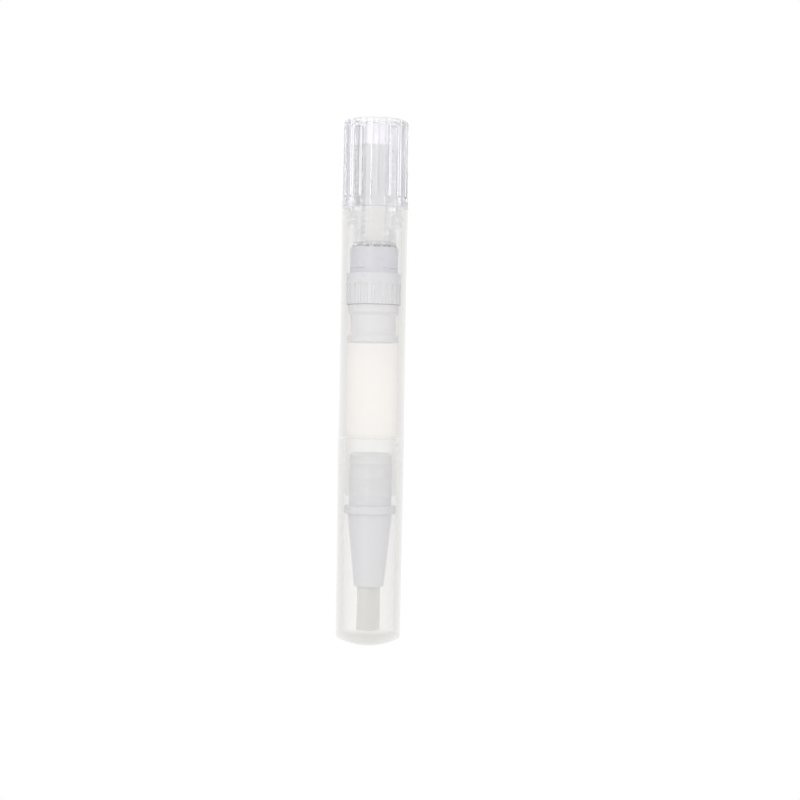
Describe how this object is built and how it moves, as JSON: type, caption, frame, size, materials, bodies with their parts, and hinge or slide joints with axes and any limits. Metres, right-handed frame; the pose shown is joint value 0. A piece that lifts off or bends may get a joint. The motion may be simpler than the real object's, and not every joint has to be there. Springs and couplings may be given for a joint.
{
  "type": "nail oil pen",
  "caption": "Twist-up nail oil pen with a clear fluted knob, a frosted barrel and pull-off cap, and a brush nozzle fed by a screw-driven piston.",
  "frame": {"origin": "on the pen's axis, midway along the barrel's round grip", "axes": "+Z along the pen's axis towards the knob, with the cap below; the screw rod's flats face -Y and +Y"},
  "size_m": [0.012, 0.012, 0.095],
  "materials": {
    "frosted_shell": "frosted translucent polypropylene",
    "clear_knob": "clear glossy moulded plastic",
    "drive_plastic": "natural translucent acetal",
    "natural_plastic": "natural milky polypropylene",
    "bristle": "white nylon bristle"
  },
  "bodies": {
    "barrel": {"barrel": "frosted_shell", "drive_nut": "drive_plastic", "click_ring": "drive_plastic"},
    "cap": {"cap": "frosted_shell"},
    "knob": {"knob": "clear_knob"},
    "screw_rod": {"screw_rod": "natural_plastic"},
    "piston": {"piston": "natural_plastic"},
    "nozzle": {"nozzle": "natural_plastic", "feed_tube": "natural_plastic", "brush_root": "bristle", "brush_tuft": "bristle"}
  },
  "joints": [
    {"name": "knob_twist", "type": "hinge", "parent": "barrel", "child": "knob", "pos_m": [0, 0, 0.0209], "axis": [0, 0, -1], "range_deg": [0, 2880]},
    {"name": "screw_feed", "type": "slide", "parent": "knob", "child": "screw_rod", "axis": [0, 0, -1], "range_m": [0, 0.016]},
    {"name": "piston_feed", "type": "slide", "parent": "barrel", "child": "piston", "axis": [0, 0, -1], "range_m": [0, 0.016]},
    {"name": "cap_pull", "type": "slide", "parent": "barrel", "child": "cap", "axis": [0, 0, -1], "range_m": [0, 0.038]},
    {"name": "nozzle_seat", "type": "slide", "parent": "barrel", "child": "nozzle", "axis": [0, 0, 1], "range_m": [0, 0.0016]}
  ],
  "couplings": [
    {"joint": "knob_twist", "follows": "screw_feed", "rad_per_m": 3141.5},
    {"joint": "piston_feed", "follows": "screw_feed", "ratio": 1}
  ]
}
